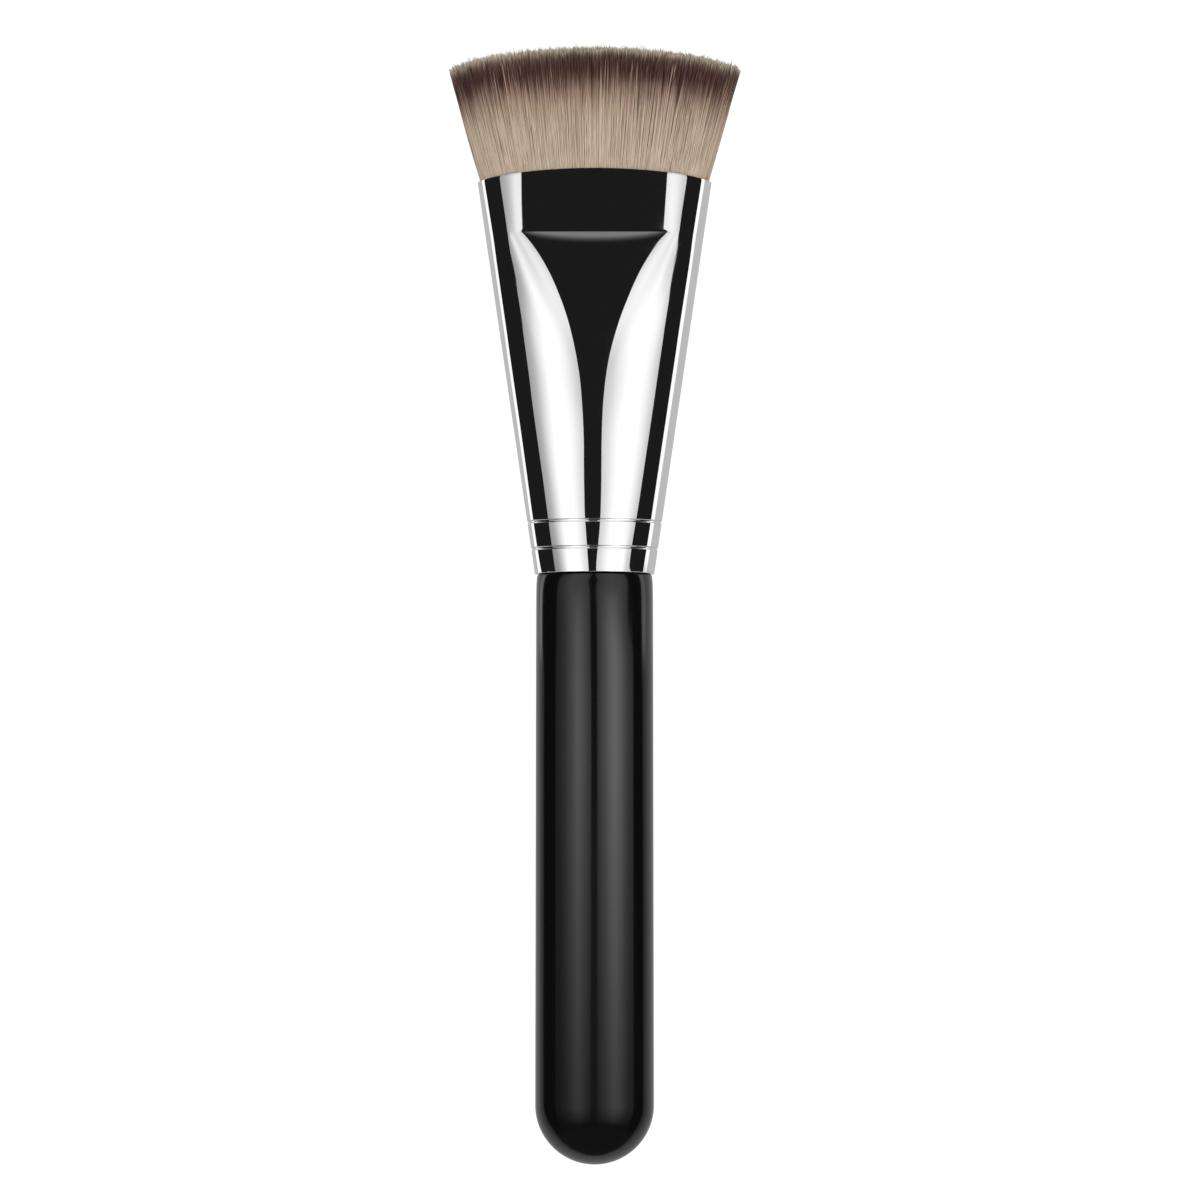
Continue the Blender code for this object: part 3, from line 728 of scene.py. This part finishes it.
SIDE_PAINTED_REFLECTIONS = {
    -1: {
        "inner": ((-70, 8), (-15, 6.5), (0, 8), (11, 9.5), (17, 11.5), (22, 11.5), (32, 8), (45, 5), (58, 5),
                  (70, 6), (85, 7), (100, 7.5)),
        "outer": ((-6, 80), (10, 76), (26, 71.5), (36, 66), (41, 61.5), (44, 56.5), (47, 54), (52, 53.5),
                  (58, 54), (64, 58.5)),
        "floor": ((-6, 115), (0, 123), (16, 116.5), (31, 111.5), (38, 109), (53, 109)),
        "along_handle": ((0, 0.85), (0.1, 1.1), (0.33, 2.05), (0.5, 1.35), (0.65, 0.8), (0.8, 0.4),
                         (1, 0.25)),
        "along_ferrule": ((0, 0.7), (0.2, 0.98), (0.45, 1.1), (0.6, 1.0), (0.8, 0.57), (1, 0.35)),
        "along_cone": ((0, 0.6), (0.2, 0.85), (0.4, 1.05), (0.65, 1.05), (0.8, 0.78), (0.9, 0.5),
                       (1, 0.35)),
        "at_mouth": ((0, 0.85), (0.2, 0.9), (0.4, 0.78), (0.6, 0.55), (1, 0.35)),
    },
    1: {
        "inner": ((-5, 5.5), (8, 3.5), (12, 2), (17, 5), (22, 6), (32, 3.5), (45, 1.5), (58, 2.5), (70, 5),
                  (85, 6.5), (100, 7)),
        "outer": ((-6, 79), (-1, 77), (2, 66.5), (12, 67.5), (27, 66), (36, 63), (41, 59.5), (45, 53.5),
                  (48, 48.5), (51, 45.5), (55, 44.5), (60, 45.5), (66, 52)),
        "floor": ((-30, 106.5), (-6, 105), (8, 103), (30, 98), (38, 96), (60, 96)),
        "along_handle": ((0, 0.75), (0.1, 1.1), (0.25, 1.9), (0.4, 2.8), (0.5, 2.8), (0.7, 1.6),
                         (0.85, 0.8), (1, 0.6)),
        "along_ferrule": ((0, 0.65), (0.2, 0.9), (0.4, 1.1), (0.7, 1.03), (0.85, 0.82), (1, 0.6)),
        "along_cone": ((0, 0.6), (0.2, 0.78), (0.45, 1.05), (0.8, 1.05), (0.9, 0.93), (1, 0.7)),
        "at_mouth": ((0, 0.88), (0.3, 0.96), (0.6, 0.85), (0.8, 0.7), (1, 0.6)),
    },
}
PROFILE_STARTS = (("along_handle", 0, 0), ("along_ferrule", 0, 10), ("along_cone", 34, 44),
                  ("at_mouth", 52, 62.5))
END_FLOOR = ((-290, 145), (-280, 132), (-240, 123), (-190, 113), (-160, 107), (-140, 106))
TENT_END_RINGS = 25
TENT_RINGS = 41
TENT_SIDES = 128

# Stretches of Y over which the tent's painted reflection glow changes, from the start of each change to its
# end
FLOOR_BEND = (-67 * mm, -140 * mm)
SIDES_RISE = (-165 * mm, -82 * mm)
BARREL_RISE = (-72 * mm, -18 * mm)
MOUTH_FALL = (68 * mm, 90 * mm)
FERRULE_START = (-5 * mm, -1 * mm)
OVERHEAD_RISE = (-10 * mm, -40 * mm)
END_FALL = (-190 * mm, -150 * mm)
FRONT_START = (104 * mm, 140 * mm)
FRONT_RISE = (190 * mm, 240 * mm)

# Brightness at the outer end of those changes, and at both ends of the front's
BARREL_GLOW = 0.38
MOUTH_GLOW = 0.78
OVERHEAD_GLOW = 0.1
END_GLOW = 0.06
FRONT_GLOW = (0.2, 0.5)

# Painted floor reflection in the tent, past its seam, in degrees: a white line by the ferrule and grey beyond
# it, and by the barrel a grey that brightens
WHITE_LINE = 12.0
WHITE_LINE_EDGE = 1.0
BARREL_GREY_WIDTH = 1.6 * WHITE_LINE
FLOOR_EDGE = 0.5
FERRULE_FLOOR_GLOW = (1.05, 0.5)
BARREL_FLOOR_GLOW = (0.2, 0.45)


def make_tent(axis):
    """A glowing capsule, seen only in the brush's polish, that paints its reflections: two long glowing
    sides, black between and beyond them, and a grey band of painted floor reflection."""
    quarter = np.linspace(0, math.pi / 2, TENT_END_RINGS)
    length = np.concatenate([
        TENT_HANDLE_END_Y - TENT_RADIUS * np.cos(quarter),
        np.linspace(TENT_HANDLE_END_Y, TENT_TIP_END_Y, TENT_RINGS)[1:],
        TENT_TIP_END_Y + TENT_RADIUS * np.sin(quarter)[1:]])
    past = np.maximum(length - TENT_TIP_END_Y, 0) + np.minimum(length - TENT_HANDLE_END_Y, 0)
    radius = np.sqrt(np.maximum(TENT_RADIUS**2 - past**2, TENT_POLE_RADIUS**2))
    turn = np.linspace(0, 2 * math.pi, TENT_SIDES, endpoint=False)
    x, z = radius[:, None] * np.cos(turn), axis + radius[:, None] * np.sin(turn)
    points = np.stack([x, np.broadcast_to(length[:, None], x.shape), z], axis=-1).reshape(-1, 3)
    mesh = bpy.data.meshes.new("reflection_tent")
    mesh.from_pydata(points.tolist(), [], round_faces(len(length), len(turn)).tolist())
    mesh.shade_smooth()
    tent = bpy.data.objects.new("reflection_tent", mesh)
    bpy.context.scene.collection.objects.link(tent)
    tent.visible_camera = False
    tent.visible_diffuse = False
    tent.visible_transmission = False
    tent.visible_volume_scatter = False
    tent.visible_shadow = False
    mesh.materials.append(make_painted_reflection_glow(axis))


def seam(tree, y, stops):
    """The angle in degrees that a seam of the tent has at y, from stops of (millimetres, angle)."""
    first, last = stops[0][0], stops[-1][0]
    along = rescaled(tree, y, first * mm, last * mm)
    shades = [((place - first) / (last - first), (angle / 180,) * 3) for place, angle in stops]
    return maths(tree, "MULTIPLY", ramp(tree, along, shades, curved=True), 180.0)


def side_glow(tree, angle, down, y, light):
    """How bright one side of the tent is at an angle from straight up and a place along it: a glow, set part
    by part along Y, that paints the reflections and highlights seen in the brush's polish.

    The seam of the painted floor reflection follows down, the angle that a place has by its height alone, so
    that it bends round the tent's end.
    """
    inner, outer, floor = (seam(tree, y, light[name]) for name in ("inner", "outer", "floor"))
    by_end = rescaled(tree, y, *FLOOR_BEND)
    floor = node(tree, "Mix", {0: by_end, 2: floor, 3: seam(tree, y, END_FLOOR)}).outputs[0]
    across = rescaled(tree, angle, inner, outer)
    profile = None
    for name, first, last in PROFILE_STARTS:
        stops = [(share, (glow / PEAK_GLOW,) * 3) for share, glow in light[name]]
        here = ramp(tree, across, stops, curved=True)
        if profile:
            reached = rescaled(tree, y, first * mm, last * mm)
            here = node(tree, "Mix", {0: reached, 6: profile, 7: here}, data_type="RGBA").outputs[2]
        profile = here
    overhead = maths(tree, "LESS_THAN", across, SIDE_EDGE)
    beyond = maths(tree, "GREATER_THAN", across, 1.0 - SIDE_EDGE)
    lit = maths(tree, "SUBTRACT", 1.0, maths(tree, "ADD", overhead, beyond))
    # lamp is the side's glow: a painted highlight, seen only in reflections
    lamp = maths(tree, "MULTIPLY", profile, maths(tree, "MULTIPLY", lit, PEAK_GLOW))
    lamp = maths(tree, "MULTIPLY", lamp, rescaled(tree, y, *SIDES_RISE))
    lamp = maths(tree, "MULTIPLY", lamp, rescaled(tree, y, *BARREL_RISE, BARREL_GLOW, 1.0))
    lamp = maths(tree, "MULTIPLY", lamp, rescaled(tree, y, *MOUTH_FALL, 1.0, MOUTH_GLOW))
    # Past the floor seam, the painted floor reflection: a white line by the ferrule, grey beyond it, and grey
    # by the barrel
    past_floor = maths(tree, "SUBTRACT", down, floor)
    line_end = WHITE_LINE + WHITE_LINE_EDGE
    by_ferrule = rescaled(tree, past_floor, WHITE_LINE, line_end, *FERRULE_FLOOR_GLOW)
    by_handle = rescaled(tree, past_floor, 0.0, BARREL_GREY_WIDTH, *BARREL_FLOOR_GLOW)
    grey = node(tree, "Mix", {0: rescaled(tree, y, *FERRULE_START), 2: by_handle, 3: by_ferrule}).outputs[0]
    grey = maths(tree, "MULTIPLY", grey, rescaled(tree, past_floor, 0.0, FLOOR_EDGE))
    return maths(tree, "ADD", lamp, grey), overhead


def make_painted_reflection_glow(axis):
    """Painted reflection glow of the tent by its angle from straight up and its place along the brush."""
    material, tree = new_material("painted_reflection_glow")
    place = node(tree, "SeparateXYZ", {0: node(tree, "TexCoord").outputs["Object"]}).outputs
    level = maths(tree, "SUBTRACT", place["Z"], axis)
    angle = maths(tree, "DEGREES", maths(tree, "ARCTAN2", maths(tree, "ABSOLUTE", place["X"]), level))
    down = maths(tree, "DEGREES", maths(tree, "ARCCOSINE", maths(tree, "DIVIDE", level, TENT_RADIUS)))
    left, left_overhead = side_glow(tree, angle, down, place["Y"], SIDE_PAINTED_REFLECTIONS[-1])
    right, right_overhead = side_glow(tree, angle, down, place["Y"], SIDE_PAINTED_REFLECTIONS[1])
    is_right = maths(tree, "GREATER_THAN", place["X"], 0.0)
    sides = node(tree, "Mix", {0: is_right, 2: left, 3: right}).outputs[0]
    overhead = node(tree, "Mix", {0: is_right, 2: left_overhead, 3: right_overhead}).outputs[0]
    behind = rescaled(tree, place["Y"], *OVERHEAD_RISE, 0.0, OVERHEAD_GLOW, smooth=True)
    behind = maths(tree, "MULTIPLY", behind, rescaled(tree, place["Y"], *SIDES_RISE))
    glow = maths(tree, "ADD", sides, maths(tree, "MULTIPLY", overhead, behind))
    glow = maths(tree, "ADD", glow, rescaled(tree, place["Y"], *END_FALL, END_GLOW, BLACK_CLOTH))
    front_share = rescaled(tree, place["Y"], *FRONT_START, smooth=True)
    front = rescaled(tree, place["Y"], *FRONT_RISE, *FRONT_GLOW, smooth=True)
    glow = node(tree, "Mix", {0: front_share, 2: glow, 3: front}).outputs[0]
    emission = node(tree, "Emission", {"Color": (1, 1, 1, 1), "Strength": glow})
    finished_with(tree, emission)
    material.cycles.emission_sampling = "NONE"
    return material


def background_seen(tree):
    """1 for the rays that see the background as it is: the camera's, and those mirrored or let through."""
    path = node(tree, "LightPath").outputs
    seen = maths(tree, "ADD", path["Is Camera Ray"], path["Is Glossy Ray"])
    return maths(tree, "ADD", seen, path["Is Transmission Ray"], clamp=True)


FLOOR_REACH = 4.0
FLOOR_GLOW = 0.86
FLOOR_COLOUR = (0.3, 0.3, 0.3, 1)


def make_floor(height):
    """A white table under the brush, which keeps the brush's soft shadow."""
    corners = [(-FLOOR_REACH, -FLOOR_REACH, height), (FLOOR_REACH, -FLOOR_REACH, height),
               (FLOOR_REACH, FLOOR_REACH, height), (-FLOOR_REACH, FLOOR_REACH, height)]
    mesh = bpy.data.meshes.new("white_table")
    mesh.from_pydata(corners, [], [(0, 1, 2, 3)])
    floor = bpy.data.objects.new("white_table", mesh)
    bpy.context.scene.collection.objects.link(floor)
    floor.visible_glossy = False
    material, tree = new_material("white_table")
    glow = maths(tree, "MULTIPLY", background_seen(tree), FLOOR_GLOW)
    emission = node(tree, "Emission", {"Color": (1, 1, 1, 1), "Strength": glow})
    matt = node(tree, "BsdfDiffuse", {"Color": FLOOR_COLOUR})
    finished_with(tree, node(tree, "AddShader", {0: emission.outputs[0], 1: matt.outputs[0]}))
    mesh.materials.append(material)


SKY_LIGHT = 0.62
LAMP_SIZE = 1.0
LAMP_HEIGHT = 1.2
LAMP_POWER = 7.0


def make_lights():
    """Soft even light from all round, and a broad lamp overhead."""
    world = bpy.data.worlds.new("studio")
    bpy.context.scene.world = world
    world.use_nodes = True
    tree = world.node_tree
    tree.nodes.clear()
    strength = node(tree, "Mix", {0: background_seen(tree), 2: SKY_LIGHT, 3: 1.0}).outputs[0]
    background = node(tree, "Background", {"Color": (1, 1, 1, 1), "Strength": strength})
    output = node(tree, "OutputWorld")
    tree.links.new(background.outputs[0], output.inputs["Surface"])
    lamp = bpy.data.lights.new("overhead", "AREA")
    lamp.size = LAMP_SIZE
    lamp.energy = LAMP_POWER
    overhead = bpy.data.objects.new("overhead", lamp)
    overhead.location = (0, 0, LAMP_HEIGHT)
    overhead.visible_glossy = False
    bpy.context.scene.collection.objects.link(overhead)


# Camera of the photograph, which shows the object from a little towards the handle's end
VIEW_DISTANCE = 1.6
VIEW_TILT = math.radians(2.4)
PICTURE_WIDTH = 177.5 * mm
PICTURE_CENTRE = Vector((0.8 * mm, 0.9 * mm, axis_z))
SENSOR_WIDTH = 36.0
NEAREST_SEEN = 0.01


def make_camera():
    """A long lens straight above the brush, tilted about X so that it looks slightly towards the tips."""
    lens = bpy.data.cameras.new("camera")
    lens.sensor_width = SENSOR_WIDTH
    lens.lens = SENSOR_WIDTH * VIEW_DISTANCE / PICTURE_WIDTH
    lens.clip_start = NEAREST_SEEN
    camera = bpy.data.objects.new("camera", lens)
    back = Vector((0, -math.sin(VIEW_TILT), math.cos(VIEW_TILT)))
    camera.location = PICTURE_CENTRE + VIEW_DISTANCE * back
    camera.rotation_euler = (VIEW_TILT, 0, 0)
    bpy.context.scene.collection.objects.link(camera)
    bpy.context.scene.camera = camera


def dress_hidden_nodes(resin):
    """Finishes of the two solids that the ferrule hides."""
    finishes = {
        "tenon_glue": make_resin("tenon_adhesive", resin, (0.72, 0.66, 0.5), (0.86, 0.83, 0.72), 420.0, 0.4),
        "root_set": make_resin("root_resin", resin, (0.52, 0.33, 0.11), (0.7, 0.52, 0.26), 300.0, 0.22),
    }
    for name, finish in finishes.items():
        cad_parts[name].data.materials.clear()
        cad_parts[name].data.materials.append(finish)
    return finishes


def main():
    bpy.context.scene.view_settings.view_transform = "Standard"
    make_camera()
    make_lights()
    make_floor(solid_box[0].z)
    make_tent(axis_z)
    handling = make_handling_group()
    resin = make_resin_group()
    hidden = dress_hidden_nodes(resin)
    make_handle(make_lacquer(handling))
    make_ferrule(make_chrome(handling))
    make_slice(hidden["root_set"])
    make_fibres(make_fibre_finish())


main()
